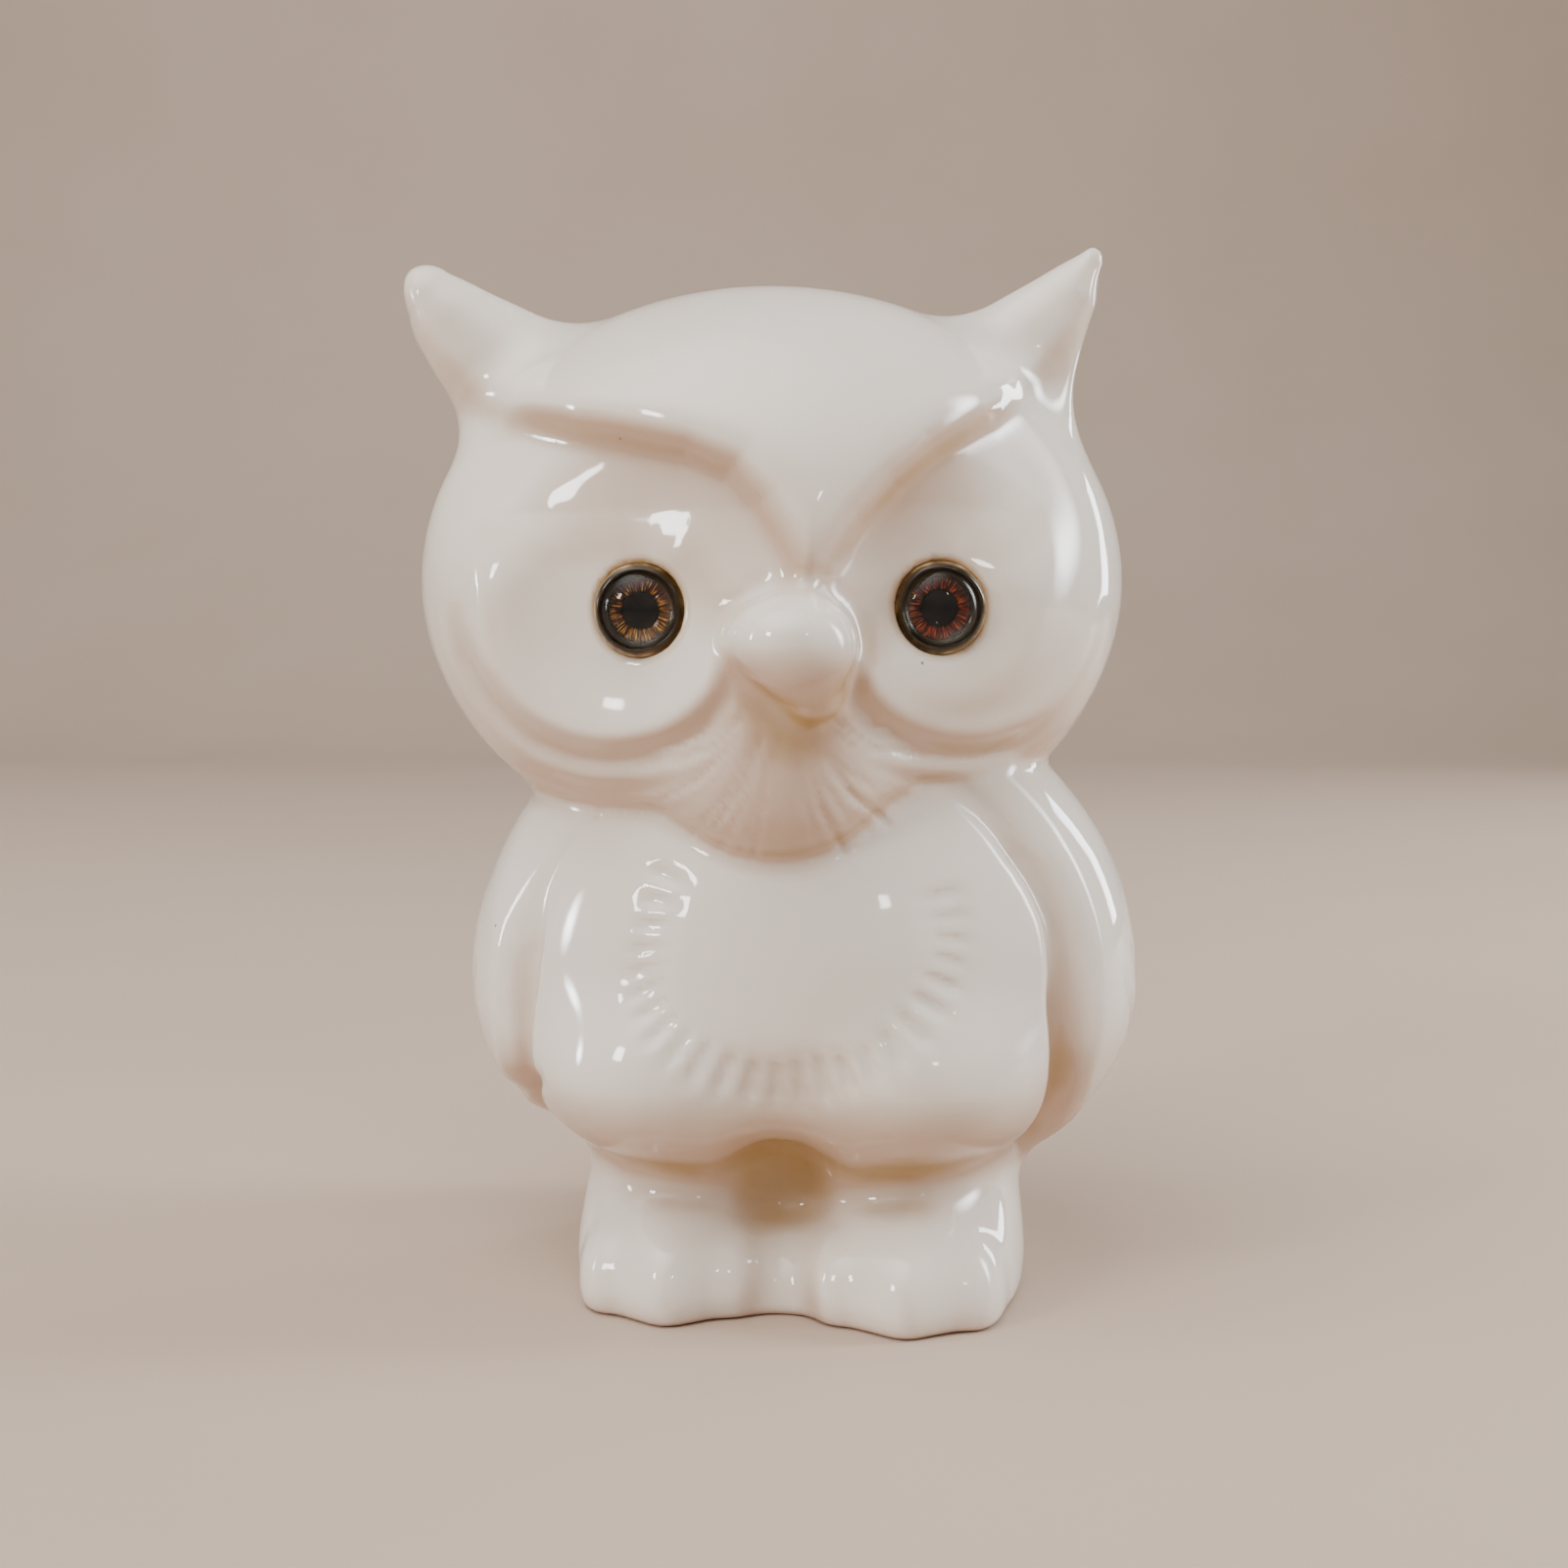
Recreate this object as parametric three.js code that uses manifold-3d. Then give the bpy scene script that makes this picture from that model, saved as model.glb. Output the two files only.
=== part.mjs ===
// A hollow slip-cast and glazed owl figurine with two glass eyes.
// Millimetres, +Z up, the face towards -Y, the base on z = 0.
import * as THREE from 'three';
import { MarchingCubes } from 'three/addons/objects/MarchingCubes.js';
import { mergeVertices } from 'three/addons/utils/BufferGeometryUtils.js';
import Module from 'manifold-3d';

const wasm = await Module();
wasm.setup();

// ---------------------------------------------------------------- driving dimensions

const HEAD_CENTRE = [-2.2, 0.6, 67];
const HEAD_HALF = [33.9, 27.6, 27.1];      // half width, half depth, half height
const HEAD_TURN = 4;                       // degrees about Z, face towards +X
const CAP_RISE = 1.1;                      // how far the crown stands proud of the face
const BROW_RISE = 2;                       // how far the forehead does
const TROUGH_DROP = 3.3;                   // middle of the trough under each brow, below its line
const BODY_CENTRE = [0.6, 0.6, 28.5];
const BODY_HALF = [30.8, 24.6, 21];
const BODY_STRETCH = 1.38;                 // the body's upper half is this much taller
const BODY_TURN = -4.5;                    // degrees about Z, belly towards -X
const WING_RISE = 1.85;                    // how far a folded wing stands proud of the body
const WALL = 3.3;                          // thickness of the fired casting
const VENT_RADIUS = 4;                     // pour and vent hole in the base
const VENT_PLACE = [0.5, 3];

const EYE_PLACE = { left: [-13.6, 64.2], right: [12.6, 64.4] };   // x, z of each eye
const EYE_YAW = 6;                         // degrees each eye looks outward
const EYE_RADIUS = 3.5;                    // 7 mm glass eye
const SOCKET_RADIUS = 4.1;
const SOCKET_DEPTH = 1.7;
const GAP = 0.05;                          // clearance between the eye's layers

const PLAN_CENTRE = [-2.05, -1.22];        // middle of the owl in plan, moved to the origin
const BELOW = 20;                          // how far cutting tools reach past the surface
const LATTICE_CENTRE = [0, 0, 44];         // the cube of space that the surface is found in
const LATTICE_HALF = 57;
const OUTER_CELL = 2.65;
const INNER_CELL = 5.4;

// The brow line in the front view, x and z, from the left ear down to the bridge and up again.
const BROW = [
  [-44, 115], [-37.2, 96], [-35.4, 91.5], [-33.4, 87.6], [-31, 84.6], [-28.5, 83], [-23.8, 81.8],
  [-19.2, 80.6], [-14.7, 79.7], [-9.2, 78.4], [-5.1, 76.6], [-2.6, 73.6], [-1.2, 71], [0.3, 68],
  [1, 66.8], [2.2, 68.2], [5, 72.3], [8, 75.7], [11.7, 78.7], [17, 81.6], [20.6, 84.4],
  [23.6, 87.2], [26.1, 90.5], [27.5, 93.3], [28.4, 96.5], [30.5, 103], [44, 150],
];

// ---------------------------------------------------------------- signed distances
// Each form is a function of a point that gives its distance in millimetres, negative inside.

const smoothUnion = (a, b, k) => {
  const h = THREE.MathUtils.clamp(0.5 + (0.5 * (b - a)) / k, 0, 1);
  return b + (a - b) * h - k * h * (1 - h);
};
const smoothCut = (a, b, k) => -smoothUnion(-a, b, k);
const smoothCommon = (a, b, k) => -smoothUnion(-a, -b, k);

function ball(p, centre, radius) {
  return Math.hypot(p[0] - centre[0], p[1] - centre[1], p[2] - centre[2]) - radius;
}

function ellipsoid(p, centre, half, lean = 0) {
  const c = Math.cos(THREE.MathUtils.degToRad(lean));
  const s = Math.sin(THREE.MathUtils.degToRad(lean));
  const x = p[0] - centre[0];
  const y = (p[1] - centre[1]) * c + (p[2] - centre[2]) * s;
  const z = (p[2] - centre[2]) * c - (p[1] - centre[1]) * s;
  const near = Math.hypot(x / half[0], y / half[1], z / half[2]) + 1e-9;
  const slope = Math.hypot(x / half[0] ** 2, y / half[1] ** 2, z / half[2] ** 2) + 1e-9;
  return (near * (near - 1)) / slope;
}

// A rounded cone from a to b, its radius running from ra to rb.
function horn(p, a, b, ra, rb) {
  const along = b.map((value, i) => value - a[i]);
  const toPoint = p.map((value, i) => value - a[i]);
  const length = along.reduce((sum, value) => sum + value * value, 0);
  const dot = along.reduce((sum, value, i) => sum + value * toPoint[i], 0);
  const t = THREE.MathUtils.clamp(dot / length, 0, 1);
  return Math.hypot(...toPoint.map((value, i) => value - t * along[i])) - (ra + (rb - ra) * t);
}

// 0 where value is low, 1 where it is high, and even in between.
function ramp(value, low, high) {
  return THREE.MathUtils.clamp((value - low) / (high - low), 0, 1);
}

const bell = (value, width) => Math.exp(-((value / width) ** 2));

// The point p in a frame turned about Z.
function turned(p, degrees) {
  const c = Math.cos(THREE.MathUtils.degToRad(degrees));
  const s = Math.sin(THREE.MathUtils.degToRad(degrees));
  return [p[0] * c + p[1] * s, p[1] * c - p[0] * s, p[2]];
}

// ---------------------------------------------------------------- the owl's forms

// How far the point (x, z) of the front view is below the brow line, negative above it.
function browDrop(x, z) {
  let away = Infinity;
  let height = BROW[0][1];
  for (let i = 0; i + 1 < BROW.length; i += 1) {
    const [x0, z0] = BROW[i];
    const dx = BROW[i + 1][0] - x0;
    const dz = BROW[i + 1][1] - z0;
    const t = THREE.MathUtils.clamp(((x - x0) * dx + (z - z0) * dz) / (dx * dx + dz * dz), 0, 1);
    away = Math.min(away, Math.hypot(x - x0 - t * dx, z - z0 - t * dz));
    if (x >= x0) height = THREE.MathUtils.lerp(z0, z0 + dz, ramp(x, x0, x0 + dx));
  }
  return z < height ? away : -away;
}

function ears(p) {
  const leftSpike = horn(p, [-24.5, -1, 84.2], [-34.7, -4.5, 93.8], 8, 2.9);
  const leftRoot = horn(p, [-25.5, -2, 79.5], [-33.6, -4, 90.5], 5, 3.4);
  const rightSpike = horn(p, [17.2, 0, 84.6], [27.7, -4.5, 96.2], 7.7, 2.2);
  const rightRoot = horn(p, [21.4, -2, 79.5], [26.9, -4, 93], 5.2, 2.6);
  return Math.min(smoothUnion(leftSpike, leftRoot, 3), smoothUnion(rightSpike, rightRoot, 3));
}

// The shallow round dish that surrounds each eye, scooped out by a ball.
const DISH_RADIUS = 26;
const DISH_DEPTH = 4.7;
const LIP_RADIUS = 13;                     // crease below the dish's rolled lower rim
const DISHES = [
  { middle: [-16.8, -24.9, 63.9], facing: new THREE.Vector3(-0.4, -0.91, -0.1).normalize() },
  { middle: [15.6, -25.2, 64.2], facing: new THREE.Vector3(0.4, -0.91, -0.1).normalize() },
];

function dishes(form, p) {
  let scooped = form;
  let crease = 0;
  for (const { middle, facing } of DISHES) {
    const out = DISH_RADIUS - DISH_DEPTH;
    const centre = middle.map((value, i) => value + facing.getComponent(i) * out);
    const softness = 1.3 + 3.7 * ramp(p[2] - middle[2], 2, 9);
    scooped = smoothCut(scooped, ball(p, centre, DISH_RADIUS), softness);
    const away = Math.hypot((p[0] - middle[0]) / 1.08, p[2] - middle[2]);
    const lower = ramp(middle[2] + 1.5 - p[2], 0, 6) * ramp(-p[1], 8, 13);
    crease += 0.9 * bell(away - LIP_RADIUS, 1.7) * lower * ramp(Math.abs(p[0] + 0.5), 4.5, 7);
  }
  return Math.abs(scooped) < 5 ? scooped + crease : scooped;
}

function head(p) {
  const local = turned(p.map((value, i) => value - HEAD_CENTRE[i]), HEAD_TURN);
  const horns = ears(p);
  let form = smoothUnion(ellipsoid(local, [0, 0, 0], HEAD_HALF), horns + 0.5, 4);
  form = dishes(form, p);

  // a trough under each brow, fading out towards the beak and where the ears begin
  const drop = browDrop(p[0], p[2]);
  const behind = 0.5 * Math.max(p[1] + 17, 0);
  const nearBeak = bell(Math.hypot(p[0] - 0.9, p[2] - 65.5), 3.5);
  const below = drop - TROUGH_DROP;
  const reach = below > 0 ? 1.5 + 0.9 * ramp(Math.abs(p[0] - 0.9), 6, 14) : 1.5;
  const trough = Math.hypot(form - 0.2, below / reach, behind) - 2.8 + 2.4 * nearBeak;
  form = smoothCut(form, trough, 3.5);

  // the forehead that overhangs it, with a rolled edge
  const capHalf = [HEAD_HALF[0], HEAD_HALF[1] + BROW_RISE, HEAD_HALF[2] + CAP_RISE];
  const cap = smoothUnion(ellipsoid(local, [0, 0, 0], capHalf), horns, 4);
  const rolled = 5 - 3 * ramp(p[2], 81, 89);
  const above = smoothUnion(drop - 0.2 * rolled, -p[1] - 1, 2);
  form = smoothUnion(form, smoothCommon(cap, above, rolled), 1.5);

  // the beak, and the ruff of feathers below it
  form = smoothUnion(form, ellipsoid(p, [-1.4, -16.2, 50.5], [9.8, 9.2, 9.6], -18), 5);
  const knob = ellipsoid(p, [-0.3, -27, 61.6], [5.2, 5.6, 3.8]);
  const tip = horn(p, [0.8, -27.9, 59.8], [1.5, -26.6, 57.2], 3.5, 2.4);
  return smoothUnion(form, smoothUnion(knob, tip, 2.6), 2.4);
}

// Distance to a folded wing's outline in the side view; side is -1 for the left wing, 1 the right.
function wingOutline(local, side) {
  const [x, y, z] = local;
  if (x * side < 0) return 9;
  if (side < 0) return smoothCommon(-13.6 - y, 20 - 0.5 * (y + 13) - z, 5);
  return smoothCommon(-12.6 - y, Math.max(18.6 - 0.8 * (y + 11), 10.5) - z, 5);
}

function body(p) {
  const local = turned(p, BODY_TURN);
  const egg = local.map((value, i) => value - BODY_CENTRE[i]);
  if (egg[2] > 0) egg[2] /= BODY_STRETCH;
  let form = ellipsoid(egg, [0, 0, 0], BODY_HALF);
  for (const side of [-1, 1]) {
    const lobe = ellipsoid(local, [side * 11.2 + 0.5, -8.2, 22.6], [13.4, 16.6, 9.8]);
    form = smoothUnion(form, lobe, 3.5);
  }
  form = smoothCut(form, horn(local, [-0.2, -36, 11], [-0.2, -16.5, 12], 5.4, 3.6), 5);

  // folded wings, soft at the shoulder and standing proud lower down
  const plain = form;
  for (const side of [-1, 1]) {
    const outline = wingOutline(local, side);
    const shoulder = side < 0 ? ramp(local[2], 33, 44) : ramp(local[2], 42, 53);
    const broad = side < 0 ? 0 : 1.1 * ramp(36 - local[2], 0, 8);
    const groove = Math.hypot(plain - 0.2, outline) - 1 - broad + 1.4 * shoulder;
    const softness = 1.6 + (side < 0 ? 5.5 : 3.5) * shoulder;
    let wing = smoothCommon(plain - WING_RISE + 0.5 * shoulder, outline, softness);
    wing = smoothCommon(wing, 4 - local[0] * side, 1.5);
    form = smoothUnion(smoothCut(form, groove, 1.8), wing, 1 + 2 * shoulder);
  }
  return smoothUnion(form, ellipsoid(local, [0.3, 19.5, 15.5], [9.5, 5, 12.5], 20), 2.5);
}

const FEET = [
  { x: -10.2, forward: -0.4, half: 10.2 },
  { x: 11.4, forward: -1.9, half: 10.7 },
];
const TOES = [-0.58, 0, 0.56];             // across the foot, as parts of its half width

function feet(p) {
  const local = turned(p, BODY_TURN);
  let form = ellipsoid(local, [0.3, 0.5, 0], [13, 17.8, 10.5]);
  for (const { x, forward, half } of FEET) {
    const leg = ellipsoid(local, [x, 1.5, 10], [half, 15.5, 26]);
    const sole = ellipsoid(local, [x, forward - 4.9, 2.4], [half, 15.8, 9.4]);
    let limb = smoothUnion(leg, sole, 4);
    for (const across of TOES) {
      const front = forward - 1.7 - 15.3 * Math.sqrt(1 - across ** 2);
      const toe = ellipsoid(local, [x + across * half, front, 2.4], [2.7, 4.4, 4.6]);
      limb = smoothUnion(limb, toe, 2.2);
    }
    form = smoothUnion(form, limb, 2.8);
  }
  return form;
}

// The slip drains through the middle, so the hollow is never narrower than this upright core.
const CORE = { low: [0.5, 3, 4], high: [0.5, 3, 60], radius: 14.5 };

const owlForm = (p) => smoothUnion(smoothUnion(head(p), body(p), 3), feet(p), 3);

function hollowForm(p) {
  const core = horn(p, CORE.low, CORE.high, CORE.radius, CORE.radius);
  return smoothCommon(Math.min(owlForm(p), core), -p[2], 2) + WALL;
}

// ---------------------------------------------------------------- solids

function toSolid(geometry) {
  const shape = geometry.clone();
  for (const name of Object.keys(shape.attributes)) {
    if (name !== 'position') shape.deleteAttribute(name);
  }
  const merged = mergeVertices(shape, 1e-4);
  return new wasm.Manifold(new wasm.Mesh({
    numProp: 3,
    vertProperties: Float32Array.from(merged.attributes.position.array),
    triVerts: Uint32Array.from(merged.index.array),
  }));
}

function toGeometry(solid) {
  const mesh = solid.getMesh();
  const geometry = new THREE.BufferGeometry();
  const positions = new Float32Array(mesh.numVert * 3);
  for (let i = 0; i < mesh.numVert; i += 1) {
    positions.set(mesh.vertProperties.subarray(i * mesh.numProp, i * mesh.numProp + 3), i * 3);
  }
  geometry.setAttribute('position', new THREE.BufferAttribute(positions, 3));
  geometry.setIndex(new THREE.BufferAttribute(Uint32Array.from(mesh.triVerts), 1));
  geometry.computeVertexNormals();
  return geometry;
}

function slopeOf(field, p) {
  const step = 0.02;
  return [0, 1, 2].map((axis) => {
    const ahead = [...p];
    const behind = [...p];
    ahead[axis] += step;
    behind[axis] -= step;
    return (field(ahead) - field(behind)) / (2 * step);
  });
}

// How far from the centre, along a unit direction, the field's surface lies.
function reachOf(field, centre, direction) {
  const at = (distance) => field(centre.map((value, i) => value + direction[i] * distance));
  let inside = 0;
  while (at(inside + 1) < 0) inside += 1;
  let outside = inside + 1;
  for (let i = 0; i < 12; i += 1) {
    const middle = (inside + outside) / 2;
    if (at(middle) < 0) inside = middle;
    else outside = middle;
  }
  return inside;
}

// The surface of a field as a closed mesh: cut out of a cubic lattice by marching cubes, then
// evened out over a few rounds, each of which sets every vertex back on the surface.
function skin(field, cell, rounds) {
  const count = Math.ceil((2 * LATTICE_HALF) / cell) + 4;
  const place = (step, axis) => LATTICE_CENTRE[axis] + (step - count / 2) * cell;
  const cubes = new MarchingCubes(count, new THREE.Material(), false, false, 40000);
  cubes.isolation = 0;
  const clearance = 0.1 * cell;            // keeps the surface off the lattice's own corners
  for (let z = 0; z < count; z += 1) {
    for (let y = 0; y < count; y += 1) {
      for (let x = 0; x < count; x += 1) {
        const depth = -field([place(x, 0), place(y, 1), place(z, 2)]);
        const value = depth < 0 ? Math.min(depth, -clearance) : Math.max(depth, clearance);
        cubes.field[x + count * (y + count * z)] = value;
      }
    }
  }
  cubes.update();

  const soup = new THREE.BufferGeometry();
  const corners = cubes.positionArray.slice(0, cubes.count * 3);
  soup.setAttribute('position', new THREE.BufferAttribute(corners, 3));
  const mesh = mergeVertices(soup, 1e-5);
  const position = mesh.attributes.position;
  let points = Array.from({ length: position.count }, (unused, i) => (
    [0, 1, 2].map((axis) => LATTICE_CENTRE[axis] + (position.getComponent(i, axis) * count * cell) / 2)
  ));

  const neighbours = points.map(() => new Set());
  const index = mesh.index.array;
  for (let i = 0; i < index.length; i += 3) {
    for (let side = 0; side < 3; side += 1) {
      neighbours[index[i + side]].add(index[i + ((side + 1) % 3)]);
      neighbours[index[i + side]].add(index[i + ((side + 2) % 3)]);
    }
  }
  for (let round = 0; round < rounds; round += 1) {
    points = points.map((point, i) => {
      const around = [...neighbours[i]];
      const even = point.map((value, axis) => (
        (value + around.reduce((sum, j) => sum + points[j][axis], 0) / around.length) / 2
      ));
      const slope = slopeOf(field, even);
      const steep = Math.max(slope.reduce((sum, value) => sum + value * value, 0), 0.1);
      const shift = THREE.MathUtils.clamp(field(even), -cell / 4, cell / 4) / steep;
      return even.map((value, axis) => value - slope[axis] * shift);
    });
  }
  points.forEach((point, i) => position.setXYZ(i, ...point));
  return toSolid(mesh);
}

// ---------------------------------------------------------------- the casting

function facingOf(side) {
  const yaw = THREE.MathUtils.degToRad(side === 'left' ? -EYE_YAW : EYE_YAW);
  return new THREE.Vector3(Math.sin(yaw), -Math.cos(yaw), 0);
}

// Where the eye's axis meets the bottom of its dish.
function eyePoint(side) {
  const [x, z] = EYE_PLACE[side];
  const reach = reachOf(head, [x, 0, z], [0, -1, 0]);
  return new THREE.Vector3(x, -reach, z);
}

// Turns a shape made along +Z so that it looks out of the eye socket.
function atEye(geometry, side) {
  const turn = new THREE.Quaternion().setFromUnitVectors(new THREE.Vector3(0, 0, 1), facingOf(side));
  return geometry.applyQuaternion(turn).translate(...eyePoint(side).toArray());
}

function cylinder(radius, from, to) {
  return new THREE.CylinderGeometry(radius, radius, to - from, 40)
    .rotateX(Math.PI / 2)
    .translate(0, 0, (from + to) / 2);
}

function buildCasting() {
  const outside = skin(owlForm, OUTER_CELL, 4);
  const hollow = skin(hollowForm, INNER_CELL, 3);
  const ground = new THREE.BoxGeometry(200, 200, BELOW).translate(0, 0, -BELOW / 2);
  const vent = cylinder(VENT_RADIUS, -BELOW, WALL + 4).translate(...VENT_PLACE, 0);
  let shell = outside.subtract(toSolid(ground));
  shell = shell.subtract(hollow).subtract(toSolid(vent));
  for (const side of ['left', 'right']) {
    const socket = atEye(cylinder(SOCKET_RADIUS, -SOCKET_DEPTH, BELOW), side);
    shell = shell.subtract(toSolid(socket));
  }
  return toGeometry(shell);
}

// ---------------------------------------------------------------- the glass eyes
// Each layer is turned on a lathe: its profile is r and z, with z = 0 at the dish's surface.

function lathe(profile) {
  return new THREE.LatheGeometry(profile.map(([r, z]) => new THREE.Vector2(r, z)), 40)
    .rotateX(Math.PI / 2);
}

const BED_TOP = -SOCKET_DEPTH + 0.5;       // glue under the eye
const CUP_FLOOR = BED_TOP + GAP + 0.3;     // dark backing's floor
const CUP_RIM = CUP_FLOOR + 0.45;
const GLASS_BASE = CUP_RIM + GAP;
const GLASS_HEIGHT = 2.3;
const IRIS_RADIUS = 2.45;
const PUPIL_RADIUS = 1.42;

function adhesiveShape() {
  const outer = SOCKET_RADIUS - GAP;
  const inner = EYE_RADIUS + GAP;
  return lathe([
    [0, -SOCKET_DEPTH + GAP], [outer, -SOCKET_DEPTH + GAP], [outer, 0.1], [outer - 0.15, 0.4],
    [inner + 0.1, 0.45], [inner, 0.3], [inner, BED_TOP], [0, BED_TOP],
  ]);
}

function backingShape() {
  const inner = IRIS_RADIUS + GAP;
  return lathe([
    [0, BED_TOP + GAP], [EYE_RADIUS, BED_TOP + GAP], [EYE_RADIUS, CUP_RIM],
    [inner, CUP_RIM], [inner, CUP_FLOOR], [0, CUP_FLOOR],
  ]);
}

function irisShape() {
  const inner = PUPIL_RADIUS + GAP;
  const low = CUP_FLOOR + GAP;
  const high = low + 0.15;
  return lathe([
    [inner, low], [IRIS_RADIUS, low], [IRIS_RADIUS, high], [inner, high], [inner, low],
  ]);
}

function pupilShape() {
  const low = CUP_FLOOR + GAP;
  return lathe([[0, low], [PUPIL_RADIUS, low], [PUPIL_RADIUS, low + 0.3], [0, low + 0.3]]);
}

function domeShape() {
  const rings = 8;
  const edge = 0.35;
  const profile = [[0, GLASS_BASE], [EYE_RADIUS, GLASS_BASE]];
  for (let i = 0; i < rings; i += 1) {
    const angle = (i / rings) * (Math.PI / 2);
    const rise = (GLASS_HEIGHT - edge) * Math.sin(angle);
    profile.push([EYE_RADIUS * Math.cos(angle), GLASS_BASE + edge + rise]);
  }
  profile.push([0, GLASS_BASE + GLASS_HEIGHT]);
  return lathe(profile);
}

// ---------------------------------------------------------------- assembly

function addMesh(group, name, geometry, color, roughness, metalness) {
  const material = new THREE.MeshStandardMaterial({ color, roughness, metalness });
  const mesh = new THREE.Mesh(geometry, material);
  mesh.name = name;
  group.add(mesh);
}

const IRIS_COLOUR = { left: 0xa8642a, right: 0x93301a };   // gold and copper foil

const owl = new THREE.Group();
addMesh(owl, 'owl_casting', buildCasting(), 0xf1e9dc, 0.08, 0);
for (const side of ['left', 'right']) {
  addMesh(owl, `${side}_eye_adhesive`, atEye(adhesiveShape(), side), 0x9a7430, 0.2, 0);
  addMesh(owl, `${side}_eye_backing`, atEye(backingShape(), side), 0x1d160c, 0.4, 0);
  addMesh(owl, `${side}_iris_foil`, atEye(irisShape(), side), IRIS_COLOUR[side], 0.3, 0.8);
  addMesh(owl, `${side}_pupil`, atEye(pupilShape(), side), 0x050505, 0.3, 0);
  addMesh(owl, `${side}_glass_dome`, atEye(domeShape(), side), 0xffffff, 0.02, 0);
}
owl.position.set(-PLAN_CENTRE[0], -PLAN_CENTRE[1], 0);

export default owl;
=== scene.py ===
"""A glazed ceramic owl with glass eyes, modelled finely round its packed casting and eye nodes.

The owl's form is a signed distance field in millimetres. It is polygonised at half a millimetre,
so that the glaze reflects light from one continuous surface, and stands for the faceted casting.
"""

import math

import bpy
import numpy as np
from mathutils import Matrix, Vector


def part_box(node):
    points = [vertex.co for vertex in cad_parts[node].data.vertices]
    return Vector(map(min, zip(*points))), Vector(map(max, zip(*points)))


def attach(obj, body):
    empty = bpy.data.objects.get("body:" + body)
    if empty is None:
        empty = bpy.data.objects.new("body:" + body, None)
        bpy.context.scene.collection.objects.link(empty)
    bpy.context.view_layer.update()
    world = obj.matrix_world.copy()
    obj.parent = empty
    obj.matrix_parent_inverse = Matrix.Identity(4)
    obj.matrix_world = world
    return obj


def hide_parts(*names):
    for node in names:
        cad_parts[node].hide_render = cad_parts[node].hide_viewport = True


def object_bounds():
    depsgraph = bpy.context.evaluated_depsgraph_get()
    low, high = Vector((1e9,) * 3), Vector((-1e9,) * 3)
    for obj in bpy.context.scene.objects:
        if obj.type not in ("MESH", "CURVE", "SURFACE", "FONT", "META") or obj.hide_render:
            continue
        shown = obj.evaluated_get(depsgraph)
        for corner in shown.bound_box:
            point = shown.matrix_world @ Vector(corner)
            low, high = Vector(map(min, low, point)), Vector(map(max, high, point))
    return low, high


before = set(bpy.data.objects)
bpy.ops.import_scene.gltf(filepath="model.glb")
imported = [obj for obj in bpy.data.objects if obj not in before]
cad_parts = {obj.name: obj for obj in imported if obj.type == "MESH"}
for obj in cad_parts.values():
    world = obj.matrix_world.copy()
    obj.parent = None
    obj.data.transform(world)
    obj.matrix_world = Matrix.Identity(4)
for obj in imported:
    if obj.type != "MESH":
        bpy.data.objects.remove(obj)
CAD_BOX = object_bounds()

MM = 0.001
CELL = 0.55       # size of the surface's faces, mm
SIDES = {"left": -1, "right": 1}

# ---------------------------------------------------------------- driving sizes, mm

PLAN_CENTRE = np.array([-2.05, -1.22, 0.0])   # the field's own place of the row's origin
HEAD_CENTRE = (-2.2, 0.6, 67.0)
HEAD_HALF = (33.9, 27.6, 27.1)
HEAD_TURN = 4.0                               # degrees about Z, face towards +X
CAP_RISE = 1.1                                # crown proud of the face
BROW_RISE = 2.0                               # forehead proud of the face
TROUGH_DROP = 3.3                             # middle of the trough under each brow, below its line
TROUGH_RADIUS = 2.8
BRIDGE = (0.9, 65.5)                          # x and z of the place where the brows meet
EAR_STEP = 1.3                                # how much slimmer the ears are below their crests
BODY_CENTRE = (0.6, 0.6, 28.5)
BODY_HALF = (30.8, 24.6, 21.0)
BODY_STRETCH = 1.38                           # upper half of the body is this much taller
BODY_TURN = -4.5
WING_RISE = 1.85
WALL = 3.3
VENT_PLACE = (0.5, 3.0)
VENT_RADIUS = 4.0
CORE_RADIUS = 14.5                            # of the hollow's upright core, wall included
SOCKET_RADIUS = 4.1
SOCKET_FLOOR = -0.9                           # from the pupil disc's middle
EYE_YAW = 6.0                                 # degrees each eye looks outward
EYE_RADIUS = 3.5
GLASS_HEIGHT = 2.3
GLASS_CHAMFER = 0.15
GLASS_SHOULDER = 0.35                         # height at which the dome begins
CUP_DEPTH = 0.45
ARC_STEPS = 12                                # points round each quarter turn
IRIS_RADIUS = 2.45
IRIS_HOLE = 1.47
PUPIL_RADIUS = 1.42

# The brow line in the front view, x and z, from the left ear to the bridge and up again.
BROW = (
    (-44, 115), (-37.2, 96), (-35.4, 91.5), (-33.4, 87.6), (-31, 84.6), (-28.5, 83), (-23.8, 81.8),
    (-19.2, 80.6), (-14.7, 79.7), (-9.2, 78.4), (-5.1, 76.6), (-2.6, 73.6), (-1.2, 71), (0.3, 68),
    (1, 66.8), (2.2, 68.2), (5, 72.3), (8, 75.7), (11.7, 78.7), (17, 81.6), (20.6, 84.4),
    (23.6, 87.2), (26.1, 90.5), (27.5, 93.3), (28.4, 96.5), (30.5, 103), (44, 150),
)

# ---------------------------------------------------------------- signed distances
# p is an array of points; each form gives their distances in mm, negative inside. k is how far the
# rounding between two forms reaches.


def union(a, b, k):
    h = np.clip(0.5 + 0.5 * (b - a) / k, 0, 1)
    return b + (a - b) * h - k * h * (1 - h)


def cut(a, b, k):
    return -union(-a, b, k)


def common(a, b, k):
    return -union(-a, -b, k)


def length(v):
    return np.sqrt((v * v).sum(axis=1))


def ball(p, centre, radius):
    return length(p - np.array(centre)) - radius


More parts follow.
